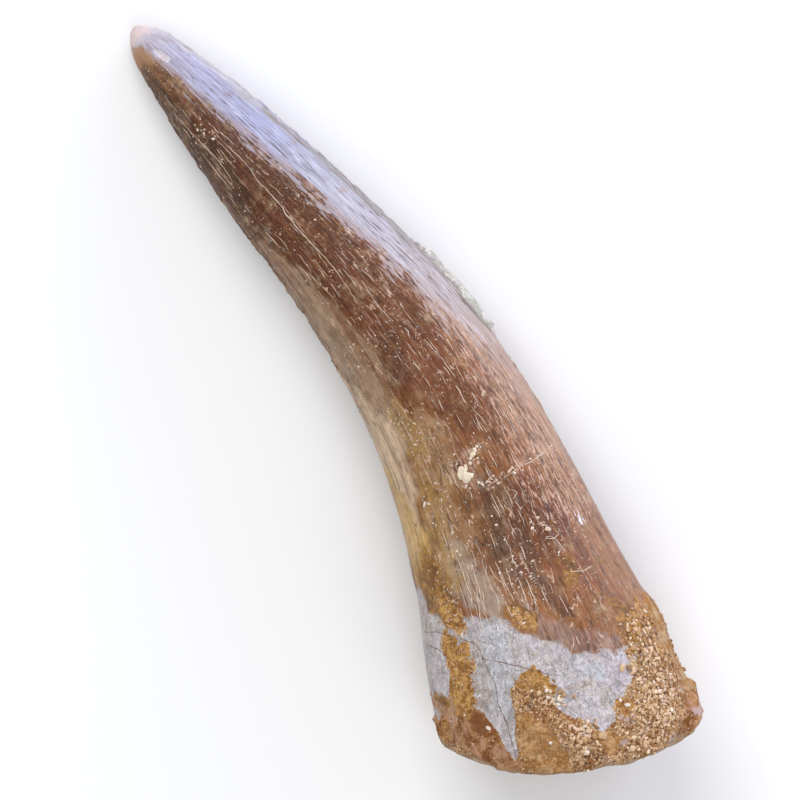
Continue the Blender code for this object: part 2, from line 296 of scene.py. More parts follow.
def noise_over(places, size, number=0):
    """Smooth noise, from about -1 to 1, at each place. Its features have that size."""
    flat = places.reshape(-1, 3) / size + NOISE_APART * number
    return np.array([noise.noise(Vector(p)) for p in flat]).reshape(places.shape[:-1])


def noises_over(places, layers):
    """The sum of some noises, each (amount, size, number)."""
    return sum(amount * noise_over(places, size, number) for amount, size, number in layers)


def at_least(least, share):
    return least + (1.0 - least) * share


def past(edge, along, around):
    """How far along a place is beyond an edge of (around, along)."""
    return along - smooth_through(edge, around % 360.0)


def on_circle(around, radius):
    turn = np.radians(around)
    return np.stack([np.cos(turn) * radius, np.sin(turn) * radius, np.zeros_like(turn)], -1)


def end_at(around, across):
    """How far up the axis the broken end lies, at a share of the radius across it."""
    stop = smooth_through(BROKEN_END, across * np.cos(np.radians(around)))
    stop = stop + UNDERSIDE_BROKEN_SHORT * np.maximum(0.0, -np.sin(np.radians(around))) * across
    chips = noise_over(on_circle(around, half_sizes(0.0)[0] * across / EDGE_CHIP_SIZE), 1.0)
    return stop + EDGE_CHIP_DEPTH * chips


def strokes(along, around, paths):
    """1 on the middle of each path of (along, around, half width), falling to 0 half as far again as its edge."""
    cover = np.zeros_like(along)
    for path in paths:
        for (along_a, around_a, wide_a), (along_b, around_b, wide_b) in zip(path, path[1:]):
            radius = half_sizes(np.float64((along_a + along_b) / 2))[0]
            ahead, side = along_b - along_a, math.radians(around_b - around_a) * radius
            off_along = along - along_a
            off_side = np.radians((around - around_a + 180.0) % 360.0 - 180.0) * radius
            share = np.clip((off_along * ahead + off_side * side) / (ahead ** 2 + side ** 2), 0.0, 1.0)
            away = np.hypot(off_along - share * ahead, off_side - share * side)
            cover = np.maximum(cover, smoothstep(1.5 - away / (wide_a + (wide_b - wide_a) * share)))
    return cover


# ---------------------------------------------------------------- the tooth's surface


def surface_rows():
    """For each row from the tip to the middle of the broken end: (along or past the edge, across, cavity, is_end)."""
    dome_top = AXIS_LENGTH - TIP_DOME
    sides = [dome_top + TIP_DOME * math.cos(math.radians(90.0 * k / 11)) for k in range(1, 11)]
    sides += list(np.linspace(dome_top, END_BLENDS_OVER, 96, endpoint=False))
    sides += list(np.linspace(END_BLENDS_OVER, 0.9, 50))
    rows = [(along, 1.0, 0.0, 0) for along in sides]
    rows += [(0.62, 0.998, 0.0, 1), (0.35, 0.99, 0.0, 1), (0.14, 0.976, 0.0, 1), (0.03, 0.955, 0.0, 1)]
    rows += [(0.0, across, 0.0, 1) for across in np.linspace(0.925, 0.715, 7)]
    rows += [(0.05, WALL_INSIDE, 0.05, 1), (0.0, 0.66, 0.3, 1), (0.0, 0.635, 0.7, 1), (0.0, 0.6, 0.92, 1)]
    rows += [(0.0, across, 1.0, 1) for across in np.linspace(0.55, 0.04, 11)]
    return np.array(rows)


def fine_ridges(column, along, around):
    """(groove depth share, crest share) of the crown's fine ridges, which start, wander and die out one by one."""
    radius, shrunk = RIDGE_CYLINDER
    unrolled = on_circle(column, radius)
    unrolled[..., 2] = along * shrunk
    phase = FINE_RIDGES * column / 360.0 + noises_over(unrolled, RIDGE_WANDER)
    number = np.floor(phase).astype(int) % FINE_RIDGES
    draw = np.random.RandomState(11)
    strength = draw.uniform(0.3, 1.0, FINE_RIDGES)[number]
    starts = draw.uniform(-0.5, 1.0, FINE_RIDGES)[number] * RIDGE_STARTS_WITHIN
    ends = draw.uniform(-0.1, 1.0, FINE_RIDGES)[number] * RIDGE_ENDS_WITHIN
    above_edge = past(ENAMEL_EDGE, along, around)
    grown = smoothstep((above_edge - starts) / ENAMEL_FADE) * smoothstep(above_edge / ENAMEL_FADE)
    left = 1.0 - smoothstep((along - (AXIS_LENGTH - RIDGE_ENDS_BEFORE_TIP - ends)) / RIDGE_DIES_OVER)
    unworn = at_least(TIP_RIDGES_LEFT, smoothstep((AXIS_LENGTH - along) / TIP_WEAR))
    crest = (0.5 - 0.5 * np.cos(math.tau * phase)) ** RIDGE_BLUNTNESS
    unrubbed = smoothstep(0.75 + RUBBED_SHARPNESS * noise_over(unrolled, 0.45, 12))
    amount = strength * grown * unworn * at_least(ENDED_RIDGE_LEFT, left) * at_least(RUBBED_RIDGE_LEFT, unrubbed)
    return amount, crest


def tooth_surface():
    """Every vertex's place on the tooth and the covers that its finish needs, as a dict of row by column arrays."""
    rows = surface_rows()
    column = np.arange(COLUMNS)[None, :] * 360.0 / COLUMNS + 0.0 * rows[:, :1]
    base, across, cavity, is_end = (rows[:, k, None] + 0.0 * column for k in range(4))
    twist = RIDGE_TWIST * (np.clip(base / AXIS_LENGTH, 0.0, 1.0)) ** RIDGE_TWIST_GROWTH
    around = column + np.where(is_end, 0.0, twist)
    end = end_at(around, across)
    along = np.where(is_end, end + base + cavity * CAVITY_DEPTH,
                     base + end * (1.0 - smoothstep(base / END_BLENDS_OVER)))
    share = np.where(is_end, across, dome_share(along))
    place = section_point(along, around, share, 0.0)
    amount, crest = fine_ridges(column, along, around)
    above_root = smoothstep(past(ENAMEL_EDGE, along, around) / ENAMEL_FADE)
    strayed = along + DENTINE_STRAY * noise_over(place, DENTINE_STRAY_SIZE, 20)
    past_dentine = past(DENTINE_EDGE, strayed, around)
    crust = smoothstep(0.5 + (noises_over(place, CRUST_STRAY) - past(CRUST_EDGE, along, around)) / CRUST_FADE)
    lumps = noise_over(place, CRUST_LUMP_SIZE) + 0.5 * noise_over(place, CRUST_LUMP_SIZE / 2)
    pits = noise_over(place, PIT_SIZE, 7)
    film = strokes(along + FILM_STRAY * pits, around, FILM_OF_ROCK)
    film_lumps = noise_over(place, FILM_LUMP_SIZE, 14)
    hollows = smoothstep(NICK_SHARPNESS * noise_over(place, NICK_SIZE, 19) - 0.2)
    nicks = NICK_ROUGHNESS * noise_over(place, NICK_ROUGHNESS_SIZE, 18) - NICK_DEPTH * hollows
    relief = -ENAMEL_STEP * (1.0 - above_root) - GROOVE_DEPTH * amount * (1.0 - crest)
    relief = relief + crust * (CRUST_THICKNESS + CRUST_LUMP * lumps + CRUST_PIT * pits)
    relief = relief + film * (FILM_THICKNESS + FILM_LUMP * film_lumps + FILM_PIT * pits)
    relief = relief + NUB_HEIGHT * strokes(along, around, NUB) - NOTCH_DEPTH * strokes(along, around, NOTCH)
    relief = relief + nicks * strokes(along, around, NICKED_FLANKS)
    relief = relief + SKIN_PIT * pits + SKIN_SWELL * noise_over(place, SKIN_SWELL_SIZE, 15)
    relief = relief - TIP_CHIP_DEPTH * strokes(along, around, CHIPPED_TIP)
    at_rim = smoothstep((across - WALL_INSIDE) / (1.0 - WALL_INSIDE))
    relief = np.where(is_end, at_rim, share) * relief
    in_cavity = CAVITY_LUMP * noise_over(place, CAVITY_LUMP_SIZE) + CAVITY_PIT * pits
    on_wall = WALL_LUMP * noise_over(place, WALL_LUMP_SIZE, 8)
    along_end = along + is_end * (cavity * in_cavity + (1.0 - cavity) * on_wall)
    place = section_point(along_end, around, share, relief)
    place[..., 2] = np.maximum(place[..., 2], 0.0)
    return {
        "place": place, "along": along, "around": around, "column": column, "crust": crust, "film": film,
        "crest": np.where(is_end, 0.5, 0.5 + (crest - 0.5) * amount),
        "enamel": smoothstep(0.5 + past_dentine / DENTINE_FADE) * (1.0 - is_end),
        "wall": is_end * (1.0 - cavity) * smoothstep((WALL_OUTSIDE - across) / WALL_FADE),
        "cavity": smoothstep(cavity * 2.0),
    }


def new_mesh(name, points, faces):
    mesh = bpy.data.meshes.new(name)
    mesh.from_pydata(points, [], faces)
    mesh.update()
    return mesh


def add_float(mesh, name, values):
    mesh.attributes.new(name, "FLOAT", "POINT").data.foreach_set("value", values.astype(np.float32).ravel())


# Baked colours need a bare margin round the map, and each pole's fan a strip of this many millimetres.
MAP_MARGIN_ACROSS = 0.005
MAP_MARGIN_ALONG = 0.01
MAP_POLE = 0.004
POLE_STRIP = 0.4


def mesh_from_rows(name, grid, first_pole, last_pole):
    """A closed tube of rows and columns with a pole at each end, and a UV map unrolled around and along it."""
    rows, columns = grid.shape[:2]
    count = rows * columns
    points = np.concatenate([grid.reshape(-1, 3), first_pole[None], last_pole[None]]) * MM
    corner = np.arange(columns)
    after = (corner + 1) % columns
    tops = np.arange(rows - 1)[:, None] * columns
    quads = np.stack([tops + corner, tops + columns + corner, tops + columns + after, tops + after], -1)
    last = (rows - 1) * columns
    tip_fan = np.stack([np.full(columns, count), corner, after], -1)
    end_fan = np.stack([np.full(columns, count + 1), last + after, last + corner], -1)
    mesh = new_mesh(name, points.tolist(), quads.reshape(-1, 4).tolist() + tip_fan.tolist() + end_fan.tolist())
    steps = np.linalg.norm(np.diff(grid, axis=0), axis=-1).mean(1)
    v = np.concatenate([[0.0], np.cumsum(steps)])
    v = MAP_MARGIN_ALONG + (1 - 2 * MAP_MARGIN_ALONG) * (v + POLE_STRIP) / (v[-1] + 2 * POLE_STRIP)
    u0, u1 = (MAP_MARGIN_ACROSS + (1 - 2 * MAP_MARGIN_ACROSS) * (corner + k) / columns for k in (0, 1))
    middle = (u0 + u1) / 2
    uv = []
    for row in range(rows - 1):
        a, b = np.full(columns, v[row]), np.full(columns, v[row + 1])
        uv.append(np.stack([u0, a, u0, b, u1, b, u1, a], -1).ravel())
    for pole, edge, left, right in ((MAP_POLE, v[0], u0, u1), (1 - MAP_POLE, v[-1], u1, u0)):
        a, b = np.full(columns, pole), np.full(columns, edge)
        uv.append(np.stack([middle, a, left, b, right, b], -1).ravel())
    mesh.uv_layers.new(name="OFBake").data.foreach_set("uv", np.concatenate(uv).astype(np.float32))
    mesh.shade_smooth()
    return mesh


def add_piece(mesh, material, node=None):
    """Puts a mesh in the scene as a piece of the same name that rides with the tooth."""
    mesh.materials.append(material)
    piece = bpy.data.objects.new(mesh.name, mesh)
    bpy.context.scene.collection.objects.link(piece)
    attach(piece, "root")
    if node:
        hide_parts(node)


# A painted highlight: the polished, pale band on the outer flank, painted into the colour as a reflection: (along,
# around) of its upper edge, and its strength. Beyond it the enamel has only painted glints.
PAINTED_HIGHLIGHT_REACH = ((0, 14), (14, 26), (20, 34), (26, 38), (32, 52), (38, 59), (44, 68), (48, 78), (50, 84), (52, 88),
               (54, 116), (55.6, 200))
PAINTED_HIGHLIGHT_SOFTNESS = 18.0
PAINTED_HIGHLIGHT_UNDERSIDE = 40.0
PAINTED_HIGHLIGHT_STRENGTH = ((0, 0), (10, 0.05), (16, 0.25), (20, 0.5), (26, 0.75), (32, 0.95), (36, 1), (55.6, 1))
GLINTS_PAST_PAINTED_HIGHLIGHT = 8.0
PAINTED_GLINTS_SOFTNESS = 38.0


# How strongly the painted highlight covers each place; with more reach and softness, the painted glints at its
# fringe.
def painted_highlight_cover(along, around, beyond, softness):
    turned = (around + 180.0) % 360.0 - 180.0
    upper = smoothstep(0.5 + (smooth_through(PAINTED_HIGHLIGHT_REACH, along) + beyond - turned) / softness)
    lower = smoothstep((turned + PAINTED_HIGHLIGHT_UNDERSIDE) / PAINTED_HIGHLIGHT_SOFTNESS)
    return smooth_through(PAINTED_HIGHLIGHT_STRENGTH, along) * upper * lower


def build_tooth(material):
    """The tooth's own mesh. It returns the surface in millimetres too, for things that lie on it."""
    s = tooth_surface()
    along, around, place = s["along"], s["around"], s["place"]
    centre = np.array([0.0])
    tip = section_point(np.float64(AXIS_LENGTH), np.float64(0.0), 0.0, 0.0)
    middle = section_point(end_at(centre, centre) + CAVITY_DEPTH, centre, 0.0, 0.0)[0]
    mesh = mesh_from_rows("tooth_body", place, tip, middle)
    radius = np.maximum(half_sizes(np.clip(along, 0.0, AXIS_LENGTH))[0], 1.0)
    stray_along = noises_over(place, STAINS_STRAY_ALONG)
    stray_around = np.degrees(noises_over(place, STAINS_STRAY_AROUND) / radius)
    covers = {name: s[name] for name in ("crest", "enamel", "crust", "film", "wall", "cavity")}
    covers["along"] = along / AXIS_LENGTH
    # The painted highlight, and the painted glints at its fringe.
    covers["painted_highlight"] = painted_highlight_cover(along, around, 0.0, PAINTED_HIGHLIGHT_SOFTNESS)
    covers["painted_glints"] = painted_highlight_cover(along, around, GLINTS_PAST_PAINTED_HIGHLIGHT, PAINTED_GLINTS_SOFTNESS)
    for name, paths in STAINS.items():
        stray = 0.0 if name in SHARP_STAINS else 1.0
        cover = strokes(along + stray * stray_along, around + stray * stray_around, paths)
        covers[name] = cover * (1.0 - s["cavity"]) * (1.0 - WALL_HIDES_STAINS * s["wall"])
    for name, cover in covers.items():
        add_float(mesh, name, np.concatenate([cover.ravel(), cover[0, :1], cover[-1, :1]]))
    unrolled = on_circle(s["column"], STREAKS_CYLINDER)
    unrolled[..., 2] = along
    unrolled = np.concatenate([unrolled.reshape(-1, 3), unrolled[0, :1], unrolled[-1, :1]])
    mesh.attributes.new("unrolled", "FLOAT_VECTOR", "POINT").data.foreach_set(
        "vector", unrolled.astype(np.float32).ravel())
    add_piece(mesh, material, "tooth")
    corners = [[v / MM for v in vertex.co] for vertex in mesh.vertices]
    return BVHTree.FromPolygons(corners, [list(face.vertices) for face in mesh.polygons])


# ---------------------------------------------------------------- things that lie on the tooth


CAST_FROM_OUTSIDE = 2.5
CAST_FROM_BELOW = 5.0


def on_side(surface, along, around):
    """The place and outward direction on the built surface, on the tooth's side."""
    along, around = np.float64(along), np.float64(around)
    outside = Vector(section_point(along, around, 1.0, CAST_FROM_OUTSIDE))
    axis = Vector(section_point(along, around, 0.0, 0.0))
    return surface.ray_cast(outside, axis - outside)[:2]


def on_end(surface, across, around):
    """The place and outward direction on the built surface, on the broken end."""
    start = Vector(section_point(np.float64(0.0), np.float64(around), across, 0.0))
    up_axis = Vector((math.sin(lean(0.0)), math.cos(lean(0.0)), 0.0))
    return surface.ray_cast(start - CAST_FROM_BELOW * up_axis, up_axis)[:2]


def ball(subdivisions):
    """The points and triangles of a unit ball."""
    shape = bmesh.new()
    bmesh.ops.create_icosphere(shape, subdivisions=subdivisions, radius=1.0)
    points = np.array([v.co[:] for v in shape.verts])
    faces = np.array([[v.index for v in f.verts] for f in shape.faces])
    shape.free()
    return points, faces


KNOBBLE = 0.28
GRAIN_LENGTHS = (0.8, 1.5)
GRAIN_WIDTHS = (0.6, 1.05)
GRAIN_SIZE_SPREAD = 0.3
GRAIN_SUNK = 0.3
CHIP_SUNK = 0.1
CLEAR_OF_FLOOR = 0.02


def crumbs_mesh(name, spots, subdivisions, draw):
    """One mesh of many irregular grains. Each spot is (place, outward, radius, flatness, tone)."""
    ball_points, ball_faces = ball(subdivisions)
    points, faces, tones = [], [], []
    for place, outward, radius, flatness, tone in spots:
        turn = draw.uniform(0, math.tau)
        side = outward.orthogonal().normalized()
        side = side * math.cos(turn) + outward.cross(side) * math.sin(turn)
        axes = np.array([side, outward.cross(side), outward])
        knobbly = ball_points * (1.0 + draw.uniform(-KNOBBLE, KNOBBLE, (len(ball_points), 1)))
        knobbly = knobbly * radius * np.array([draw.uniform(*GRAIN_LENGTHS), draw.uniform(*GRAIN_WIDTHS), flatness])
        grain = knobbly @ axes + np.array(place)
        if grain[:, 2].min() < CLEAR_OF_FLOOR:
            continue
        faces.append(ball_faces + len(points) * len(ball_points))
        points.append(grain)
        tones.append(np.full(len(ball_points), tone))
    mesh = new_mesh(name, (np.concatenate(points) * MM).tolist(), np.concatenate(faces).tolist())
    add_float(mesh, "tone", np.concatenate(tones))
    return mesh


THREAD_SIDES = 5
THREAD_STEP = 0.16
THREAD_LEAST_STEPS = 5
THREAD_WIGGLE = 0.022
THREAD_CLEAR_OF_FLOOR = 0.15
THREAD_SWELLS = (0.4, 1.4)
THREAD_TIP = 0.25
# About how many millimetres a degree around the crown is.
DEGREE = 0.08


def threads_mesh(name, surface, threads, draw):
    """One mesh of thin tapered threads that lie half sunk in the surface.

    Each thread is (path of (along, around), radius, lift, tone).
    """
    points, faces, tones = [], [], []
    sides = range(THREAD_SIDES)
    for path, radius, lift, tone in threads:
        along, around = np.array(path, float).T
        steps = np.concatenate([[0.0], np.cumsum(np.hypot(np.diff(along), np.diff(around) * DEGREE))])
        count = max(THREAD_LEAST_STEPS, int(steps[-1] / THREAD_STEP))
        at = np.linspace(0.0, steps[-1], count)
        wiggle = np.cumsum(draw.normal(0.0, math.degrees(THREAD_WIGGLE / half_sizes(along.mean())[0]), count))
        wiggle = wiggle - np.linspace(wiggle[0], wiggle[-1], count)
        course = zip(np.interp(at, steps, along), np.interp(at, steps, around) + wiggle)
        spots = [on_side(surface, *spot) for spot in course]
        centres = [place + normal * lift for place, normal in spots]
        if min(c.z for c in centres) < THREAD_CLEAR_OF_FLOOR:
            continue
        first = len(points)
        for k, (centre, (_, normal)) in enumerate(zip(centres, spots)):
            ahead = (centres[min(k + 1, count - 1)] - centres[max(k - 1, 0)]).normalized()
            side = ahead.cross(normal).normalized()
            up = side.cross(ahead)
            fullness = at_least(THREAD_TIP, math.sin(math.pi * (k + 0.5) / count) ** 0.5)
            taper = radius * draw.uniform(*THREAD_SWELLS) * fullness
            for n in sides:
                turn = math.tau * n / THREAD_SIDES
                points.append(centre + (side * math.cos(turn) + up * math.sin(turn)) * taper)
                tones.append(tone)
        for ring in range(first, first + (count - 1) * THREAD_SIDES, THREAD_SIDES):
            for n in sides:
                a, b = ring + n, ring + (n + 1) % THREAD_SIDES
                faces.append((a, b, b + THREAD_SIDES, a + THREAD_SIDES))
        faces.append([first + n for n in reversed(sides)])
        faces.append([first + (count - 1) * THREAD_SIDES + n for n in sides])
    mesh = new_mesh(name, [p * MM for p in points], faces)
    add_float(mesh, "tone", np.array(tones))
    mesh.shade_smooth()
    return mesh


# Where sand grains crowd: (along, around, length, width, grains to a square millimetre, radius).
SAND_PLACES = (
    (7, 36, 3, 3, 19, 0.1), (4.6, 38, 4, 3.8, 26, 0.1), (3, 42, 3, 3.6, 26, 0.1), (1.6, 50, 2, 3.4, 24, 0.1),
    (0.8, 60, 1.2, 2.6, 16, 0.1), (2.6, 53, 1.8, 1.8, 19, 0.1), (2.9, 86, 1.4, 2.6, 26, 0.11),
    (2, 82, 1, 2.4, 16, 0.105), (5.4, 93, 1.7, 2.4, 12, 0.105), (5.9, 101, 1, 1.4, 10, 0.085),
    (1, 92, 2, 3.4, 4, 0.08), (3.6, 104, 3, 2.6, 4, 0.06), (4, 142, 5, 5, 2, 0.06), (5.8, 346, 5, 4, 13, 0.11),
    (6, 318, 8, 7, 12, 0.12), (3.5, 285, 6, 7, 9, 0.12), (4.4, 240, 6, 7, 6, 0.11), (5, 205, 5, 6, 4, 0.11),
    (10.6, 95, 1.3, 1, 14, 0.06), (11.8, 134, 1.8, 1, 9, 0.06), (8.4, 136, 3, 1.6, 3, 0.07),
    (8.4, 32, 1.6, 2, 9, 0.08), (6.6, 45, 1.6, 1, 12, 0.08), (3.2, 325, 4, 4, 10, 0.11),
)
# Where pale crumbs are strewn over the crown: (along, around, length, width, number, radius).
CRUMB_PLACES = (
    (20.6, 101, 2.2, 2, 22, 0.07), (21.6, 83, 1.2, 0.8, 12, 0.06), (21.1, 88, 0.8, 0.6, 8, 0.07),
    (19.1, 84, 0.7, 2.2, 34, 0.075), (19.25, 66, 0.5, 1.4, 14, 0.07), (19.4, 48, 0.3, 6.4, 60, 0.038),
    (24.6, 122, 2.4, 1.6, 46, 0.052), (23.2, 120, 2, 1.8, 26, 0.05), (19.4, 128, 3, 1.6, 28, 0.06),
    (20, 118, 1.6, 1.2, 16, 0.06), (18, 124, 3, 2.4, 24, 0.055), (15.8, 112, 4, 5, 40, 0.05),
    (15.9, 66, 1.2, 1.4, 40, 0.06), (13.9, 82, 2.6, 2.6, 40, 0.055), (14.8, 60, 2.6, 2.2, 24, 0.05),
    (12.4, 90, 3, 2.4, 44, 0.055), (12.4, 133, 3.4, 1.4, 50, 0.055), (14.6, 140, 3.4, 2, 34, 0.05),
    (12, 56, 3, 2.4, 26, 0.05), (17, 38, 7, 4, 60, 0.045), (28, 108, 10, 7, 110, 0.042), (36, 96, 12, 7, 70, 0.042),
    (44, 104, 10, 5, 30, 0.04), (38, 74, 12, 2, 24, 0.042), (50.6, 106, 4, 2.4, 12, 0.038),
    (40, 140, 20, 3, 40, 0.045), (47.4, 112, 2, 1.2, 22, 0.055), (24, 240, 30, 12, 200, 0.055),
    (24, 310, 30, 10, 200, 0.055), (30, 200, 40, 7, 140, 0.05),
)


NUB_IS_BARE_ABOVE = 0.3
RIND_BARENESS = 0.85
RUST_BARENESS = 0.7


def bareness(along, around):
    """1 on the nub, and nearly as much on the rind and on smooth rust, which hold few grains."""
    nub, rind, rust = (float(strokes(np.float64(along), np.float64(around), paths))
                       for paths in (NUB, STAINS["rind"], STAINS["smooth_rust"]))
    return max(1.0 * (nub > NUB_IS_BARE_ABOVE), RIND_BARENESS * rind, RUST_BARENESS * rust)


def strewn(surface, draw, oval, count, radius, flatness):
    """Grains scattered in an oval (along, around, length, width) on the tooth's side, a few beyond its edge."""
    along, around, length, width = oval
    girth = half_sizes(np.float64(max(along, 1.0)))[0]
    spots = []
    for _ in range(count):
        reach = math.sqrt(draw.uniform()) * 0.5 * draw.choice([1.0, 1.0, 1.0, 1.35])
        turn = draw.uniform(0.0, math.tau)
        spot_along = along + length * reach * math.cos(turn)
        spot_around = around + math.degrees(width * reach * math.sin(turn) / girth)
        place, normal = on_side(surface, spot_along, spot_around)
        missed = place is None or not 0.0 < spot_along < AXIS_LENGTH
        if missed or draw.uniform() < bareness(spot_along, spot_around):
            continue
        size = radius * draw.lognormal(0.0, GRAIN_SIZE_SPREAD)
        spots.append((place - normal * size * GRAIN_SUNK, normal, size, flatness, draw.uniform(0.0, 1.0)))
    return spots


SAND_FLATNESS = 0.8
CRUMB_FLATNESS = 0.45
END_GRAINS = 1500
END_GRAIN_RADIUS = 0.12
END_GRAIN_FLATNESS = 0.85
END_GRAIN_SUNK = 0.25
# The rim's wall shows between these angles: (from, to, across at least, share of grains left out).
BARE_RIM = (62.0, 128.0, 0.6, 0.6)


def build_sand(surface, material):
    """Sand grains that the crust holds, on the root's side and on the broken end."""
    draw = np.random.RandomState(5)
    spots = []
    for *oval, crowding, radius in SAND_PLACES:
        count = int(crowding * oval[2] * oval[3] * math.pi / 4)
        spots += strewn(surface, draw, oval, count, radius, SAND_FLATNESS)
    rim_from, rim_to, rim_across, left_out = BARE_RIM
    for _ in range(END_GRAINS):
        around, across = draw.uniform(0, 360), math.sqrt(draw.uniform(0.0, 0.9))
        place, normal = on_end(surface, across, around)
        bare = rim_from < around < rim_to and across > rim_across and draw.uniform() < left_out
        if place is not None and normal.y < 0.0 and not bare:
            size = END_GRAIN_RADIUS * draw.lognormal(0.0, GRAIN_SIZE_SPREAD)
            place = place - normal * size * END_GRAIN_SUNK
            spots.append((place, normal, size, END_GRAIN_FLATNESS, draw.uniform(0.0, 1.0)))
    add_piece(crumbs_mesh("sand_grains", spots, 1, draw), material)


def build_crumbs(surface, material):
    """Pale crumbs of the rock left on the crown."""
    draw = np.random.RandomState(8)
    spots = []
    for *oval, count, radius in CRUMB_PLACES:
        spots += strewn(surface, draw, oval, count, radius, CRUMB_FLATNESS)
    add_piece(crumbs_mesh("pale_crumbs", spots, 1, draw), material)


# The largest crumbs: (along, around, radius, flatness).
CHIPS = (
    (20.2, 99.4, 0.36, 0.5), (20, 97.6, 0.28, 0.5), (20.42, 101.2, 0.27, 0.5), (20.48, 98, 0.24, 0.55),
    (20.15, 102, 0.2, 0.45), (19.9, 99.4, 0.24, 0.45), (20.55, 99.8, 0.22, 0.5), (20.6, 96.4, 0.14, 0.5),
    (21.15, 88.4, 0.2, 0.5), (21.35, 86, 0.16, 0.5), (21.5, 83.4, 0.1, 0.5), (21, 90.8, 0.13, 0.5),
    (20.75, 92.4, 0.12, 0.5), (21.4, 88.2, 0.1, 0.4),
)
WHITE_SPOTS = (
    (19.5, 134, 0.15, 0.35), (16.6, 92, 0.08, 0.3), (17.2, 92.6, 0.06, 0.3), (46.8, 112, 0.09, 0.3),
    (1.2, 124, 0.14, 0.4), (15.9, 121, 0.09, 0.3), (15.6, 119.6, 0.06, 0.3), (4.9, 128, 0.15, 0.3),
    (10.8, 131, 0.1, 0.3), (5.3, 93, 0.17, 0.5), (5.6, 94.8, 0.13, 0.5), (5, 91, 0.12, 0.5), (5.2, 89, 0.13, 0.5),
    (5.9, 92.6, 0.09, 0.5), (18.7, 116, 0.06, 0.3), (3.6, 59, 0.13, 0.5), (4, 61, 0.1, 0.5), (2.9, 100, 0.12, 0.5),
    (2.6, 82.5, 0.13, 0.5),
)


def build_chips(surface, material):
    """The cream chip of rock on the crown, in pieces, and some lone white spots."""
    draw = np.random.RandomState(3)
    spots = []
    for places, tones in ((CHIPS, (0.3, 0.6)), (WHITE_SPOTS, (0.5, 0.8))):
        for along, around, radius, flatness in places:
            place, normal = on_side(surface, along, around)
            spots.append((place - normal * radius * CHIP_SUNK, normal, radius, flatness, draw.uniform(*tones)))
    add_piece(crumbs_mesh("chips_of_rock", spots, 2, draw), material)


# Cracks that pale mineral has filled: each is a path of (along, around).
FILLED_CRACKS = (
    ((49.6, 141), (48.7, 135), (47.2, 130), (45.8, 128)), ((49.6, 141), (49.2, 146)),
    ((46.2, 104), (44.4, 101), (42.9, 103), (40.8, 100), (39.2, 103), (37.6, 102), (36, 106)),
    ((47.2, 130), (45.7, 126), (44, 128)), ((38.9, 103), (37.1, 102), (35.3, 102), (33, 105)),
    ((34, 89), (32.4, 91), (30.7, 89)), ((28.8, 77), (27.4, 75), (25.8, 73)), ((25.4, 76), (24.1, 76)),
    ((24.5, 68), (23.8, 68)), ((14.6, 114), (13.2, 114), (11.8, 114)), ((14.5, 100), (13, 98), (11.6, 96)),
    ((13, 90), (11, 90)), ((19, 90), (19.1, 84), (19.1, 80)), ((19.1, 76), (19.2, 70), (19.25, 64)),
    ((19.3, 60), (19.4, 49), (19.55, 38)), ((19.6, 34), (19.8, 24)), ((18.3, 75), (18, 71), (17.7, 76)),
    ((12.4, 60), (12.2, 52), (12.3, 46)), ((14.7, 68), (14.9, 63), (14.5, 60), (13.6, 58)),
    ((14.8, 66), (14.6, 62), (14.8, 57)),
    ((15.45, 84), (15.7, 84.6), (15.95, 83.6), (16.05, 81.6), (15.95, 79.8), (15.7, 79), (15.45, 79.6)),
    ((15.2, 122), (14.2, 121), (12.9, 120), (12.2, 121)), ((14.9, 107), (13.6, 107), (12.3, 105), (11.4, 106)),
    ((13.3, 117), (12.2, 116), (11.4, 118)), ((13.9, 95), (12.8, 95), (12, 93)),
    ((12.9, 86), (11.6, 85), (10.6, 86)), ((11.9, 101), (10.9, 100)), ((15.8, 90), (14.8, 89), (14, 90)),
    ((12, 80), (10.6, 79)), ((16.9, 88), (17.9, 89.5)), ((17.2, 84), (18.2, 85)), ((16.2, 97), (15.2, 97.5)),
    ((11.3, 72), (10.1, 71)),
)
# Dark cracks in the dentine, and a dark groove on the crown.
DARK_CRACKS = (
    ((11.6, 168), (11.4, 150), (10.8, 136), (10.1, 124), (9.6, 122), (9, 121), (8.6, 113), (8.1, 106), (7.5, 98),
     (7, 92), (6.5, 84)), ((8.8, 121), (7.2, 119), (6.2, 120), (4.7, 119), (3.2, 119), (2.2, 118)),
    ((10.9, 168), (10.4, 152), (9.7, 144), (9, 136), (8.2, 130)), ((9.6, 122), (9, 121.5), (8.8, 121)),
    ((42.6, 123), (41, 121), (38.9, 118), (35.1, 114)),
)


# Short cracks too many to place: (number, where they start along, where around, length), each drawn from a range.
STRAY_CRACKS = (
    (60, (10.5, 18), (66, 128), (0.4, 1.6)), (90, (18, 36), (60, 130), (0.3, 1.4)),
    (36, (36, 50), (92, 150), (0.3, 1.6)), (30, (20, 32), (30, 60), (0.4, 1.6)),
    (90, (14, 48), (140, 390), (0.3, 1.6)),
)
# Degrees to a millimetre along, as (mean, spread), and how far the middle of a crack strays, in degrees.
STRAY_SLANT = (0.4, 1.0)
STRAY_BEND = 0.5
STRAY_OVERRUN = 2.0
# The filled cracks are thinner beyond this place along, and the dark ones lie lower in the surface.
CRACKS_THIN_FROM = 34.0
CRACK_RADIUS = 0.028
THIN_CRACK_RADIUS = 0.024
STRAY_CRACK_RADII = (0.014, 0.026)
DARK_CRACK_RADIUS = 0.02
DARK_CRACK_SUNK = 0.006


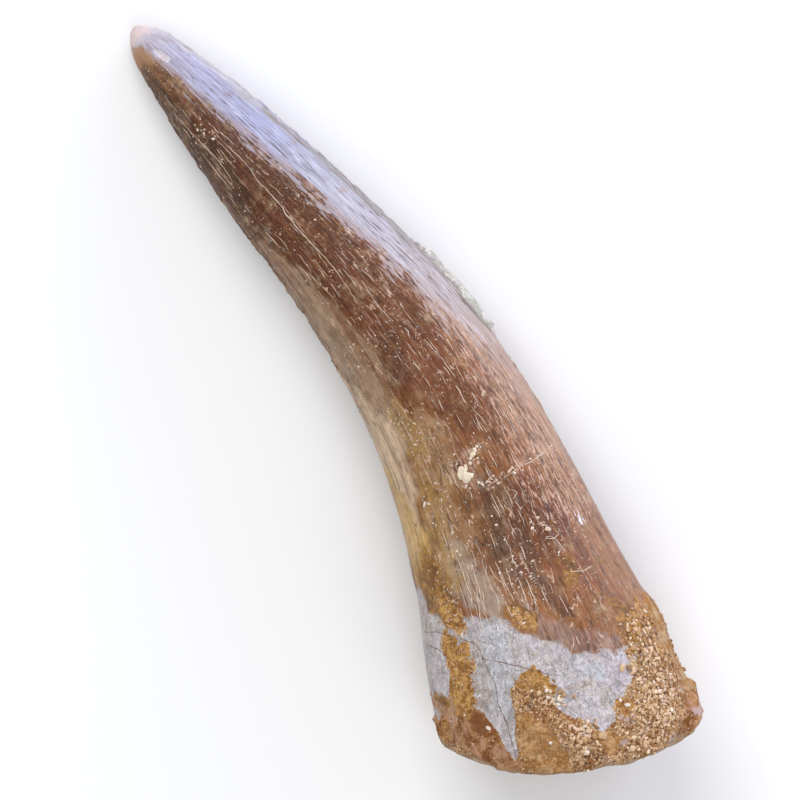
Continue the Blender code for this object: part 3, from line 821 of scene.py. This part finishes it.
def stray_cracks(draw):
    """The short cracks, which run nearly lengthwise, as paths of (along, around)."""
    paths = []
    for count, starts_along, starts_around, lengths in STRAY_CRACKS:
        for _ in range(count):
            along, around = draw.uniform(*starts_along), draw.uniform(*starts_around)
            length = min(draw.uniform(*lengths), starts_along[1] - along + STRAY_OVERRUN)
            slant = draw.normal(*STRAY_SLANT)
            bend = (along + length / 2, around + slant * length / 2 + draw.normal(0, STRAY_BEND))
            paths.append(((along, around), bend, (along + length, around + slant * length)))
    return paths


def build_threads(surface, pale, dark):
    """The filled cracks, the short stray ones, and the dark cracks."""
    draw = np.random.RandomState(21)
    threads = [(path, CRACK_RADIUS if path[0][0] < CRACKS_THIN_FROM else THIN_CRACK_RADIUS, 0.0,
                draw.uniform(0.5, 0.9)) for path in FILLED_CRACKS]
    threads += [(path, draw.uniform(*STRAY_CRACK_RADII), 0.0, draw.uniform(0.1, 1.0)) for path in stray_cracks(draw)]
    add_piece(threads_mesh("filled_cracks", surface, threads, draw), pale)
    open_cracks = [(path, DARK_CRACK_RADIUS, -DARK_CRACK_SUNK, draw.uniform(0.0, 1.0)) for path in DARK_CRACKS]
    add_piece(threads_mesh("dark_cracks", surface, open_cracks, draw), dark)


# ---------------------------------------------------------------- finishes

# Most minerals here bend light about as much as glass does.
MINERAL_IOR = 1.5
# Fossil enamel has lost some of its shine.
FOSSIL_SHINE = 0.3
ENAMEL_ROUGHNESS = (0.36, 0.5)
DENTINE_ROUGHNESS = 0.66
ROCK_ROUGHNESS = 0.9
GRAIN_HEIGHT = 0.06
GRAIN_STRENGTH = 0.5
# A pattern seldom leaves this range.
PATTERN_RANGE = (0.3, 0.7)
# The share of a line's thickness that has its full colour.
LINE_CORE = 0.2

# Colours in order of place along the tooth, as a share of its length. The first two are its ends.
ENAMEL_TONES = (
    (0.0, "#8A6038"), (1.0, "#A88B7A"), (0.2, "#7E4E24"), (0.26, "#6F4220"), (0.31, "#72461E"), (0.37, "#80542A"),
    (0.42, "#78481E"), (0.48, "#6B3D1A"), (0.54, "#603313"), (0.63, "#572B0C"), (0.72, "#502503"),
    (0.84, "#451B00"), (0.9, "#54290C"), (0.95, "#74502F"))
# Colours of the painted highlight, in order of place along the tooth as above.
PAINTED_HIGHLIGHT_TONES = (
    (0.0, "#94705A"), (1.0, "#BCB4BE"), (0.3, "#94705A"), (0.37, "#A8866C"), (0.45, "#A88C7C"), (0.53, "#AA9C9A"),
    (0.62, "#ABA5AB"), (0.74, "#A3A3B4"), (0.82, "#999BB8"), (0.92, "#A09FB8"))
# Colours in order of tone, of which each grain has one. The first two are the darkest and the palest.
SAND_TONES = (
    (0.0, "#7E5832"), (1.0, "#E6D8C2"), (0.12, "#986E42"), (0.3, "#B28C60"), (0.5, "#C4A37B"), (0.7, "#D8BC98"),
    (0.88, "#C8A289"))
CREAM_TONES = ((0.0, "#96765E"), (1.0, "#DCCABA"), (0.3, "#B0907A"), (0.6, "#C8AC96"))
CHIP_TONES = ((0.0, "#B89A72"), (1.0, "#E4DEDA"), (0.35, "#DCCDB2"), (0.6, "#D8C8B4"))
CRACK_TONES = ((0.0, "#B08E76"), (1.0, "#E0CEBC"))
DARK_TONES = ((0.0, "#5A3C34"), (1.0, "#7C5448"))


def linear(colour):
    """An sRGB hex colour as linear RGBA."""
    parts = [int(colour[k:k + 2], 16) / 255 for k in (1, 3, 5)]
    return [p / 12.92 if p <= 0.04045 else ((p + 0.055) / 1.055) ** 2.4 for p in parts] + [1.0]


def set_inputs(node, inputs):
    """Each input is a value, or another node's output to link."""
    for socket, value in inputs.items():
        if isinstance(value, bpy.types.NodeSocket):
            node.id_data.links.new(value, node.inputs[socket])
        else:
            node.inputs[socket].default_value = value


# The node tree of the finish that is being made.
at_work = {}


def add_node(kind, inputs=None, stops=None, **settings):
    """Adds a node, with its inputs and settings, to the finish that is being made."""
    node = at_work["tree"].nodes.new("ShaderNode" + kind)
    for name, value in settings.items():
        setattr(node, name, value)
    set_inputs(node, inputs or {})
    for number, (place, colour) in enumerate(stops or ()):
        elements = node.color_ramp.elements
        element = elements[number] if number < 2 else elements.new(place)
        element.position = place
        element.color = linear(colour)
    return node


def new_finish(name):
    """A new material and its surface node. It becomes the finish that is being made."""
    material = bpy.data.materials.new(name)
    material.use_nodes = True
    at_work["tree"] = material.node_tree
    return material, material.node_tree.nodes["Principled BSDF"]


def where(name):
    """How much of a named cover or stain the mesh has at each place."""
    return add_node("Attribute", attribute_name=name).outputs["Fac"]


def mixed(share, under, over):
    """One colour over another. Colours are sRGB hex or sockets."""
    under, over = (linear(c) if isinstance(c, str) else c for c in (under, over))
    return add_node("Mix", {0: share, 6: under, 7: over}, data_type="RGBA").outputs[2]


def between(value, low, high, to_low=0.0, to_high=1.0):
    """A soft step: to_low where the value is low, and to_high where it is high."""
    return add_node("MapRange", {"Value": value, 1: low, 2: high, 3: to_low, 4: to_high},
                    interpolation_type="SMOOTHSTEP").outputs[0]


def swung(pattern, amount, about):
    """A pattern whose swing about its middle value of 0.5 becomes that amount of swing about another value."""
    swing = add_node("Math", {0: pattern, 1: 0.5}, operation="SUBTRACT").outputs[0]
    return add_node("Math", {0: swing, 1: amount, 2: about}, operation="MULTIPLY_ADD").outputs[0]


def times(product, *values):
    for value in values:
        product = add_node("Math", {0: product, 1: value}, operation="MULTIPLY").outputs[0]
    return product


def either(one, other):
    """Where one cover or the other is."""
    return add_node("Math", {0: one, 1: other}, operation="MAXIMUM").outputs[0]


def clouds(place, across, along, number, detail):
    """A cloudy pattern with features of that size across and along. Each number gives another pattern."""
    scaled = add_node("VectorMath", {0: place, 1: (1 / across, 1 / across, 1 / along), 2: (number,) * 3},
                      operation="MULTIPLY_ADD").outputs[0]
    return add_node("TexNoise", {"Vector": scaled, "Scale": 1.0, "Detail": detail, "Roughness": 0.6,
                                 "Lacunarity": 2.1}).outputs["Fac"]


def fibres(width, length, number=0.0, detail=3.0):
    """Streaks that run along the ridges, in millimetres."""
    unrolled = add_node("Attribute", attribute_name="unrolled").outputs["Vector"]
    return clouds(unrolled, width, length, number, detail)


def mottle(size, number=0.0, detail=3.0):
    """Blotches of that size in millimetres."""
    place = add_node("TexCoord").outputs["Object"]
    return clouds(place, size * MM, size * MM, number, detail)


def lines(pattern, thickness, level=0.5):
    """1 on the thin lines where a pattern passes a level."""
    off = add_node("Math", {0: pattern, 1: level}, operation="SUBTRACT").outputs[0]
    off = add_node("Math", {0: off}, operation="ABSOLUTE").outputs[0]
    return between(off, thickness, thickness * LINE_CORE)


def ragged(cover, rough, amount, low, high):
    """A cover whose edge is broken up by a rough pattern."""
    return between(swung(rough, amount, cover), low, high)


def shaded(colour, pattern, darkest, brightest):
    """A colour dimmed where a pattern is low and brightened where it is high."""
    colour = linear(colour)[:3] if isinstance(colour, str) else colour
    return add_node("VectorMath", {0: colour, "Scale": between(pattern, *PATTERN_RANGE, darkest, brightest)},
                    operation="SCALE").outputs[0]


def patched(colour, *patches, detail=3.0):
    """Lays on patches: (colour, size, number of the pattern, where it starts, where it is full, strength)."""
    for over, size, number, low, high, strength in patches:
        colour = mixed(between(mottle(size, number, detail), low, high, 0, strength), colour, over)
    return colour


def stained(colour, *stains):
    """Lays on stains: (name, colour, rough pattern, its amount, where it starts, where it is full, strength)."""
    for name, over, rough, amount, low, high, strength in stains:
        cover = ragged(where(name), rough, amount, low, high)
        colour = mixed(times(cover, strength), colour, over)
    return colour


def enamel_colour():
    """Fossil enamel: apatite that iron in the ground has stained, dark red-brown above and milky tan below."""
    colour = add_node("ValToRGB", {0: where("along")}, stops=ENAMEL_TONES).outputs[0]
    streak, cloud = fibres(0.7, 7), mottle(1.1, 2)
    both = mixed(0.5, streak, cloud)
    # The pink is a quarter as strong below the crack that crosses it.
    above_crack = between(where("along"), 0.342, 0.35)
    colour = stained(
        colour,
        ("taupe", "#8E745C", streak, 1.6, 0.1, 0.9, 1),
        ("haze", "#A4825F", cloud, 2, 0, 1.2, 0.6),
        ("pale_tan", "#C8AE90", both, 1.8, 0.1, 0.9, 0.85),
        ("tan_flank", "#8C6244", streak, 1.6, 0.1, 0.9, 1),
        ("pink", "#A07C62", streak, 1.8, 0.1, 0.9, between(above_crack, 0, 1, 0.25 * 0.75, 0.75)),
        ("olive", "#3C2206", streak, 1.4, 0.1, 0.9, 0.85),
        # Dark stains, and beside the cream chip its painted shadow.
        ("dark", "#4C2C16", cloud, 1.6, 0.1, 0.9, 0.8),
        ("milky", "#A28E7E", cloud, 2.4, 0, 1.2, 0.9),
        ("mauve", "#876B60", both, 2.4, 0, 1.1, 0.85),
        ("russet", "#6C3618", streak, 2, 0, 1, 0.5),
    )
    colour = mixed(between(streak, 0.48, 0.7, 0, 0.5), colour, "#62280A")
    return stained(
        colour,
        ("mustard", "#A4844A", mottle(0.5, 6.2), 2.6, 0.1, 1.2, 0.55),
        ("yellow", "#B8924A", cloud, 1.8, 0, 1.1, 0.75),
    )


def worn_ridges(colour):
    """Darkens the grooves between the ridges, and strews pale strokes, hairlines and flecks over them.

    Enamel's own grain is finer than the render can show, so its streaks are drawn 0.09 mm wide and its flecks 0.12.
    """
    fine = fibres(0.09, 0.8)
    milky = where("milky")
    rubbed_and_glinting = either(where("pink"), where("painted_glints"))
    hazy = add_node("Math", {0: milky, 1: where("haze")}, operation="ADD").outputs[0]
    calm = times(between(rubbed_and_glinting, 0, 0.6, 0.45, 1), between(hazy, 0, 0.7, 1, 0.35))
    for pattern in (fibres(0.26, 4.2, 1.1), fine):
        colour = shaded(colour, swung(pattern, calm, 0.5), 0.62, 1.38)
    colour = shaded(colour, mottle(0.6, 6.4), 0.88, 1.12)
    groove = swung(where("crest"), -1, 0.5)
    marks = (
        # Darker in the grooves between the ridges.
        (ragged(groove, fine, 1.2, 0.6, 1.2), between(milky, 0, 0.7, 0.4, 0.12), "#2E170A"),
        # Pale strokes: rubbed wear, and on the fringe of the painted highlight, painted glints.
        (between(fibres(0.075, 0.6, 2.2, 2), 0.53, 0.63), between(rubbed_and_glinting, 0, 0.5, 0.1, 0.65),
         "#D2B09A"),
        (lines(fibres(0.5, 4.2, 4.7, 1), 0.02), between(mottle(0.9, 5.1), 0.52, 0.6, 0, 0.65),
         "#D8B8A0"),
        (lines(fibres(0.6, 6, 9.1, 1), 0.025), between(mottle(2.4, 3.3), 0.46, 0.54, 0, 0.55),
         "#2C1406"),
        (between(mottle(0.12, 2.2, 1), 0.65, 0.69),
         between(mottle(1.1, 8.8), 0.46, 0.62, 0, 0.75), "#D2B8A6"),
    )
    for mark, strength, over in marks:
        colour = mixed(times(mark, strength), colour, over)
    return colour


def with_painted_highlight(colour):
    """A painted highlight on the polished outer flank: lilac near the tip and pinkish below, with painted glints
    where it gives way to the brown.
    """
    along, painted_glints, painted_highlight = (where(name) for name in ("along", "painted_glints", "painted_highlight"))
    tint = add_node("ValToRGB", {0: along}, stops=PAINTED_HIGHLIGHT_TONES).outputs[0]
    strand = fibres(0.26, 1.5, 6.6, 4)
    painted_glint_share = times(ragged(painted_glints, strand, 3.2, 0.46, 0.62), between(painted_glints, 0.02, 0.2, 0, 0.66),
                    between(along, 0.4, 0.56, 0.3, 1))
    colour = mixed(painted_glint_share, colour, mixed(0.4, tint, "#C4ACA8"))
    core = times(ragged(painted_highlight, strand, 1.6, 0.3, 0.84), between(painted_highlight, 0.02, 0.2, 0, 0.95))
    colour = mixed(core, colour, shaded(tint, fibres(0.2, 2.6, 6.6), 0.8, 1.16))
    # The whitish edge near the tip is a painted reflection.
    colour = stained(
        colour,
        ("painted_edge_reflection", "#B0ABA2", strand, 2.6, 0.2, 1.1, 0.7),
        ("grey_edge", "#80766A", strand, 2.6, 0.2, 1.1, 0.8),
    )
    # Dark lines between the painted glints.
    gap = times(lines(fibres(0.42, 5, 7.3, 1.5), 0.024), painted_glints, 0.75)
    colour = mixed(gap, colour, "#503A36")
    # White lines along the strands: painted glints.
    glint_lines_where = either(where("painted_edge_reflection"), times(painted_highlight, 0.45))
    painted_glint_lines = times(lines(fibres(0.36, 5, 3.1, 1.5), 0.028), glint_lines_where, 0.8)
    colour = mixed(painted_glint_lines, colour, "#E2DEEA")
    # A painted highlight: a small star-shaped glint.
    return stained(colour, ("painted_sparkle", "#E4DCE8", mottle(0.14, 1.9), 1.6, 0.3, 0.7, 1))


def worn_tip(colour):
    """The tip has lost its ridges and is rubbed pale, with a tan side and a small pale chip."""
    colour = stained(colour, ("tan_tip", "#A67E5A", mottle(0.5), 1.6, 0, 1.3, 0.9))
    pale = ragged(between(where("along"), 0.968, 0.998), mottle(0.4), 1.2, 0.2, 0.9)
    colour = mixed(times(pale, 0.85), colour, "#D8C4C0")
    return stained(colour, ("chipped", "#CFC6CA", mottle(0.18), 1.8, 0.35, 0.75, 1))


def dentine_colour():
    """Fossil dentine: chalky grey, scribbled over with whitish hairlines that dark ones edge, tan where rust crept.
    The hairlines and their dark edges are painted highlight and painted shade of fine raised lines.

    Its pores are finer than the render can show, so its flecks and pits are drawn 0.12 mm wide.
    """
    grey = patched("#9C9490", ("#B6AFAE", 1.3, 0, 0.38, 0.62, 1), ("#A8957F", 1.6, 2.2, 0.5, 0.66, 0.5),
                   ("#AFA2AC", 1.4, 9.2, 0.5, 0.66, 0.5))
    grey = stained(grey, ("blue_grey", "#A4A8AE", mottle(0.5, 8.1), 2.4, 0.1, 1.2, 0.6))
    for pattern in (fibres(0.13, 0.7, 3), mottle(0.4, 3)):
        grey = shaded(grey, pattern, 0.82, 1.18)
    for pattern, number in ((mottle(0.55, 4.4, 2.5), 7.4), (fibres(0.3, 1.2, 5.5, 2), 2.6)):
        scribbled = between(mottle(0.45, number), 0.44, 0.6)
        # Each pattern is drawn as a dark line and, just beside it, a whitish one: painted shade and painted highlight
        # of a fine raised line.
        for thickness, level, strength, line in ((0.03, 0.45, 0.55, "#6E6468"), (0.034, 0.5, 0.7, "#D6D2D6")):
            drawn = times(lines(pattern, thickness, level), scribbled, strength)
            grey = mixed(drawn, grey, line)
    grey = patched(grey, ("#DAD6D8", 0.12, 1.4, 0.62, 0.68, 0.45), ("#6C6264", 0.12, 9.9, 0.38, 0.32, 0.4),
                   detail=1.0)
    tan = shaded(patched("#8E5E34", ("#A9835E", 0.7, 4.1, 0.4, 0.6, 1)), mottle(0.2, 3), 0.75, 1.25)
    return stained(grey, ("tan_root", tan, mottle(0.9, 5.2), 1.6, 0.1, 0.9, 0.9))


def rust_colour():
    """Rust-cemented silt: gold-brown, with dark patches and pale grains.

    Silt is finer than the render can show, so its grains are drawn 0.14 mm wide.
    """
    return patched("#85551A", ("#B98A4C", 0.45, 8, 0.38, 0.62, 1), ("#5E3A12", 0.22, 8.5, 0.5, 0.34, 0.7),
                   ("#DDBB8C", 0.14, 9.5, 0.58, 0.66, 0.8))


def rock_colour():
    """Sandy rock cemented with rust: tan matrix, dark patches that are painted shade between its grains, and grains
    too small to be pieces of their own.

    Where rust filled every gap it is smooth, from gold-brown to nearly black-brown, and a rind on the outer side is
    bare of grains.
    """
    # The dark #452812 patches are painted shade in the gaps between the sand grains.
    sandy = patched("#86582F", ("#AC865C", 0.8, 1, 0.38, 0.62, 1), ("#A38E7C", 1.8, 2, 0.52, 0.64, 0.8),
                    ("#452812", 0.2, 3, 0.5, 0.36, 0.9), ("#DCC2A4", 0.13, 4, 0.56, 0.64, 0.9))
    glassy = patched("#71431A", ("#A87C52", 0.9, 5, 0.36, 0.64, 1))
    glassy = mixed(between(fibres(0.3, 1, 5.3), 0.5, 0.66, 0, 0.5), glassy, "#B48E7A")
    glassy = patched(glassy, ("#CCAE92", 0.16, 6, 0.58, 0.66, 0.6))
    cemented = patched("#90622E", ("#B2895C", 0.6, 7, 0.4, 0.62, 1))
    cemented = patched(shaded(cemented, mottle(0.22, 2.7), 0.7, 1.3),
                       ("#D8B890", 0.12, 3.7, 0.58, 0.66, 0.6))
    rind = patched("#94642E", ("#AC8E68", 1, 4.6, 0.38, 0.6, 1))
    return stained(
        sandy,
        ("red_brown", glassy, mottle(0.8), 1.2, 0.3, 0.7, 1),
        ("smooth_rust", cemented, mottle(0.5, 3.6), 2, 0.2, 0.8, 0.85),
        ("rind", shaded(rind, mottle(0.3, 1.7), 0.8, 1.2), mottle(0.6, 2.6), 1.6, 0.2, 0.8, 0.9),
        ("dark_rust", shaded("#74431F", mottle(0.3, 4.9), 0.8, 1.2), mottle(0.4, 1.6), 1.4, 0.3,
         0.7, 0.85),
        ("pink_seam", "#B78E74", mottle(0.4, 5.6), 1.6, 0.2, 0.9, 0.8),
        # Painted sheen on the lumps.
        ("painted_lump_sheen", "#AE9894", mottle(0.3), 1.6, 0.3, 0.8, 0.8),
    )


def fossil_tooth_finish():
    """Fossil tooth: worn stained enamel over grey dentine, with sandy rock cemented to its root.

    Enamel keeps a soft polish that ridges and scratches break up. Dentine is chalky, and sandy rock is dull.
    """
    material, surface = new_finish("fossil_tooth")
    colour = worn_tip(with_painted_highlight(worn_ridges(enamel_colour())))
    bare = ragged(where("enamel"), mottle(0.4, 7.7), 1.2, 0.8, 0.2)
    colour = mixed(bare, colour, dentine_colour())
    gold = patched("#6A4410", ("#976A2A", 0.8, 3.9, 0.4, 0.62, 1))
    gold = shaded(gold, mottle(0.24, 6.7), 0.6, 1.4)
    colour = stained(colour, ("gold", gold, mottle(0.9, 2), 2, 0, 1, 0.9))
    rust = rust_colour()
    rusty = ragged(where("ochre"), mottle(0.35, 9), 2.2, 0.45, 0.75)
    colour = mixed(rusty, colour, rust)
    rocky = either(where("crust"), where("cavity"))
    rocky = ragged(rocky, mottle(0.3, 10), 1.2, 0.4, 0.6)
    colour = mixed(rocky, colour, rock_colour())
    colour = mixed(times(rusty, rocky, 0.7), colour, rust)
    wall = patched("#8C6C4C", ("#A28A74", 1.4, 11, 0.36, 0.64, 1))
    wall = patched(shaded(wall, mottle(0.25, 11.5), 0.82, 1.18),
                   ("#D2BCA0", 0.13, 12.5, 0.6, 0.67, 0.6))
    colour = stained(colour, ("wall", wall, mottle(0.5, 12), 1.6, 0.25, 0.75, 1))
    film = ragged(where("film"), mottle(0.35, 13), 2.2, 0.3, 0.7)
    chalk = patched("#A3A092", ("#C6C3B8", 0.7, 14, 0.38, 0.62, 1))
    colour = mixed(film, colour, shaded(chalk, mottle(0.16, 13.7), 0.84, 1.16))

    fine = fibres(0.1, 1)
    gloss = between(fine, *PATTERN_RANGE, *ENAMEL_ROUGHNESS)
    for cover, roughness in ((bare, DENTINE_ROUGHNESS), (either(rocky, film), ROCK_ROUGHNESS)):
        gloss = add_node("Mix", {0: cover, 2: gloss, 3: roughness}).outputs[0]
    grain = add_node("Mix", {0: rocky, 2: fine, 3: mottle(0.2, 3)}).outputs[0]
    bump = add_node("Bump", {"Height": grain, "Strength": GRAIN_STRENGTH, "Distance": GRAIN_HEIGHT * MM})
    set_inputs(surface, {"Base Color": colour, "Roughness": gloss, "IOR": MINERAL_IOR,
                         "Specular IOR Level": FOSSIL_SHINE, "Normal": bump.outputs[0]})
    return material


def grains_finish(name, roughness, tones):
    """Loose mineral grains: each has a flat colour of its own, from the tones given, dark to pale."""
    material, surface = new_finish(name)
    colour = add_node("ValToRGB", {0: where("tone")}, stops=tones).outputs[0]
    set_inputs(surface, {"Base Color": colour, "Roughness": roughness, "IOR": MINERAL_IOR})
    return material


# ---------------------------------------------------------------- stage, lights and camera

# The camera stands straight above the tooth, turned so that the tip points up and to the left.
CAMERA_HEIGHT = 420.0
CAMERA_OVER = (0.45, -0.87)
CAMERA_ROLL = 30.4
PIXELS_PER_MM = 16.0
SCALE_HEIGHT = 5.0
PICTURE_WIDTH = 800
SENSOR_WIDTH = 36.0
FLOOR_WIDTH = 12.0


def place_camera():
    data = bpy.data.cameras.new("camera")
    data.sensor_width = SENSOR_WIDTH
    data.lens = PIXELS_PER_MM * (CAMERA_HEIGHT - SCALE_HEIGHT) / PICTURE_WIDTH * SENSOR_WIDTH
    data.clip_start = 0.01
    camera = bpy.data.objects.new("camera", data)
    camera.location = Vector((*CAMERA_OVER, CAMERA_HEIGHT)) * MM
    camera.rotation_euler = (0.0, 0.0, math.radians(-CAMERA_ROLL))
    bpy.context.scene.collection.objects.link(camera)
    bpy.context.scene.camera = camera


# Soft lights that face the tooth: (name, metres away, azimuth, elevation, size, watts, colour). Azimuth 0 is +X and
# 90 is +Y.
SOFTBOXES = (
    ("far_end_softbox", 1.0, 82.0, 46.0, (0.8, 0.6), 5.6, "#FFFFFF"),
    ("near_end_softbox", 1.0, 262.0, 46.0, (0.8, 0.6), 3.0, "#FFFFFF"),
    ("cool_side_softbox", 0.7, 12.0, 14.0, (1.0, 0.24), 4.4, "#DDE2FF"),
)


def set_lights():
    for name, distance, azimuth, elevation, size, power, colour in SOFTBOXES:
        data = bpy.data.lights.new(name, "AREA")
        data.shape = "RECTANGLE"
        data.size, data.size_y = size
        data.energy = power
        data.color = linear(colour)[:3]
        light = bpy.data.objects.new(name, data)
        turn, rise = math.radians(azimuth), math.radians(elevation)
        away = Vector((math.cos(turn) * math.cos(rise), math.sin(turn) * math.cos(rise), math.sin(rise)))
        light.location = away * distance
        light.rotation_euler = away.to_track_quat("Z", "Y").to_euler()
        bpy.context.scene.collection.objects.link(light)


def set_stage():
    bpy.ops.mesh.primitive_plane_add(size=FLOOR_WIDTH)
    floor = bpy.context.object
    floor.name = "floor"
    material, surface = new_finish("white_paper_floor")
    set_inputs(surface, {"Base Color": linear("#F2F2F2"), "Roughness": 0.9})
    floor.data.materials.append(material)
    world = bpy.data.worlds.new("studio")
    world.use_nodes = True
    set_inputs(world.node_tree.nodes["Background"], {"Color": linear("#F4F6FA"), "Strength": 0.6})
    bpy.context.scene.world = world
    bpy.context.scene.view_settings.view_transform = "Standard"


# ---------------------------------------------------------------- making


def main():
    place_camera()
    set_stage()
    set_lights()
    surface = build_tooth(fossil_tooth_finish())
    build_sand(surface, grains_finish("sand", 0.6, SAND_TONES))
    build_crumbs(surface, grains_finish("cream_crumbs", 0.8, CREAM_TONES))
    build_chips(surface, grains_finish("cream_rock", 0.85, CHIP_TONES))
    build_threads(surface, grains_finish("pale_filling", 0.7, CRACK_TONES),
                  grains_finish("dark_crack", 0.9, DARK_TONES))


main()
